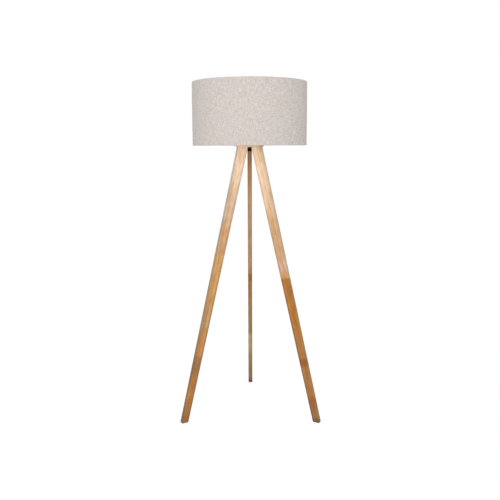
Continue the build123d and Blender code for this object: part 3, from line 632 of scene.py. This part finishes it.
def cover_columns():
    """The cover's columns as (distance round the drum, layers above the first).

    The strip goes once round, rides up over its own start, and turns in under its end.
    """
    around = 2 * pi * SHADE_RADIUS
    step = around / COLUMNS
    columns = []
    for column in range(COLUMNS + int(SEAM_LAP / step) + 1):
        distance = column * step
        climb = min(max((distance - around + SEAM_EASE) / SEAM_EASE, 0.0), 1.0)
        columns.append((distance, 2 * climb * climb * (3 - 2 * climb)))
    end = columns[-1][0]
    for part in range(1, FOLD_STEPS):
        angle = pi * part / FOLD_STEPS
        columns.append((end + LAYER_STEP / 2 * sin(angle), 1.5 + 0.5 * cos(angle)))
    for part in range(TURN_STEPS + 1):
        columns.append((end - SEAM_TURN * part / TURN_STEPS, 1.0))
    return columns


def cloth_wave(angle, height):
    """A slow unevenness of the cloth over the liner, from 0 to 1."""
    wave = sum(sin(count * angle + start + drift * height) for count, start, drift in CLOTH_WAVES)
    return (wave / len(CLOTH_WAVES) + 1) / 2


def notched(column, row):
    """Whether a face of the grid is cut away to let a frame arm out of the lower tail."""
    if row >= TAIL_ROWS + NOTCH_ROLL_ROWS:
        return False
    step = 360 / COLUMNS
    azimuth = SEAM_AZIMUTH + (column + 0.5) * step
    gaps = [abs((azimuth - arm + 180) % 360 - 180) for arm in LEG_AZIMUTHS.values()]
    return min(gaps) < step


def linen_cover():
    """The linen strip with its hems and its lapped seam, as a closed sheet."""
    low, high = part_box("shade_linen")
    profile = cover_profile(low.z, high.z)
    columns = cover_columns()
    rows = len(profile)
    lengths = [0.0]
    for (radius, height, *_), (next_radius, next_height, *_) in zip(profile, profile[1:]):
        lengths.append(lengths[-1] + hypot(next_radius - radius, next_height - height))
    cloth = [0.0]
    for (here, layer), (there, next_layer) in zip(columns, columns[1:]):
        cloth.append(cloth[-1] + hypot(there - here, (next_layer - layer) * LAYER_STEP))

    points = []
    for distance, layer in columns:
        turn = distance / SHADE_RADIUS
        angle = radians(SEAM_AZIMUTH) + turn
        for radius, height, normal, wall, tail in profile:
            lift = layer * LAYER_STEP + CLOTH_WAVE * wall * cloth_wave(turn, height)
            lift += TAIL_PUCKER * tail * (1 + sin(TAIL_PUCKERS * turn)) / 2
            out = radius + normal[0] * lift
            points.append((out * cos(angle), out * sin(angle), height + normal[1] * lift))

    faces = []
    for column in range(len(columns) - 1):
        for row in range(rows - 1):
            if not notched(column, row):
                first = column * rows + row
                faces.append((first, first + rows, first + rows + 1, first + 1))

    mesh = bpy.data.meshes.new("linen_cover")
    mesh.from_pydata(points, [], faces)
    mesh.update()
    cloth_map = mesh.uv_layers.new(name="cloth")
    for loop in mesh.loops:
        column, row = divmod(loop.vertex_index, rows)
        cloth_map.data[loop.index].uv = (cloth[column], lengths[row])
    mesh.polygons.foreach_set("use_smooth", [True] * len(mesh.polygons))
    mesh.materials.append(linen())
    cover = bpy.data.objects.new("linen_cover", mesh)
    bpy.context.scene.collection.objects.link(cover)
    solid = cover.modifiers.new("thickness", "SOLIDIFY")
    solid.thickness = LINEN_THICKNESS
    solid.offset = 0.0
    solid.use_even_offset = True

    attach(cover, "stand")
    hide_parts("shade_linen")


def white_background(tree, lit, seen):
    """Shows one shader to the camera, to gloss and through glass, and another to the light."""
    path = tree.nodes.new("ShaderNodeLightPath")
    seen_by = path.outputs["Is Camera Ray"]
    for ray in ("Is Glossy Ray", "Is Transmission Ray"):
        either = tree.nodes.new("ShaderNodeMath")
        either.operation = "MAXIMUM"
        feed(either, {0: seen_by, 1: path.outputs[ray]})
        seen_by = either.outputs[0]
    mix = tree.nodes.new("ShaderNodeMixShader")
    feed(mix, {0: seen_by, 1: lit, 2: seen})
    return mix.outputs[0]


def studio():
    """Plain soft studio light from the front, a weaker one from the back, and white all round."""
    world = bpy.data.worlds.new("studio")
    bpy.context.scene.world = world
    world.use_nodes = True
    tree = world.node_tree
    tree.nodes.clear()
    lit = tree.nodes.new("ShaderNodeBackground")
    feed(lit, {"Color": WHITE, "Strength": WORLD_LIGHT})
    seen = tree.nodes.new("ShaderNodeBackground")
    feed(seen, {"Color": WHITE, "Strength": 1.0})
    output = tree.nodes.new("ShaderNodeOutputWorld")
    feed(output, {"Surface": white_background(tree, lit.outputs[0], seen.outputs[0])})

    for name, strength, turn in (("key", KEY_LIGHT, KEY_TURN), ("fill", FILL_LIGHT, FILL_TURN)):
        light = bpy.data.lights.new(name, "SUN")
        light.energy = strength
        light.angle = radians(SOFT_ANGLE)
        lamp = bpy.data.objects.new(name, light)
        lamp.rotation_euler = [radians(angle) for angle in turn]
        bpy.context.scene.collection.objects.link(lamp)


def floor():
    """A plain pale floor that keeps the lamp's shadow."""
    material = bpy.data.materials.new("floor")
    material.use_nodes = True
    tree = material.node_tree
    tree.nodes.clear()
    lit = tree.nodes.new("ShaderNodeBsdfDiffuse")
    feed(lit, {"Color": (FLOOR_BOUNCE, FLOOR_BOUNCE, FLOOR_BOUNCE, 1)})
    shaded = tree.nodes.new("ShaderNodeBsdfDiffuse")
    feed(shaded, {"Color": (FLOOR_SHADE, FLOOR_SHADE, FLOOR_SHADE, 1)})
    glow = tree.nodes.new("ShaderNodeEmission")
    feed(glow, {"Color": WHITE, "Strength": FLOOR_GLOW})
    seen = tree.nodes.new("ShaderNodeAddShader")
    feed(seen, {0: shaded.outputs[0], 1: glow.outputs[0]})
    output = tree.nodes.new("ShaderNodeOutputMaterial")
    feed(output, {"Surface": white_background(tree, lit.outputs[0], seen.outputs[0])})

    angles = [2 * pi * corner / FLOOR_CORNERS for corner in range(FLOOR_CORNERS)]
    rim = [(FLOOR_RADIUS * cos(angle), FLOOR_RADIUS * sin(angle), 0.0) for angle in angles]
    mesh = bpy.data.meshes.new("floor")
    mesh.from_pydata(rim, [], [range(FLOOR_CORNERS)])
    mesh.materials.append(material)
    piece = bpy.data.objects.new("floor", mesh)
    bpy.context.scene.collection.objects.link(piece)


def camera():
    """The photograph's view."""
    lens = bpy.data.cameras.new("camera")
    lens.lens = CAMERA_LENS
    lens.sensor_width = SENSOR_WIDTH
    eye = bpy.data.objects.new("camera", lens)
    tilt = Matrix.Rotation(radians(90 - CAMERA_PITCH), 4, "X")
    roll = Matrix.Rotation(radians(-CAMERA_ROLL), 4, "Z")
    eye.matrix_world = Matrix.Translation(CAMERA_PLACE) @ tilt @ roll
    bpy.context.scene.collection.objects.link(eye)
    bpy.context.scene.camera = eye


linen_cover()
studio()
floor()
camera()
bpy.context.scene.view_settings.view_transform = "Standard"
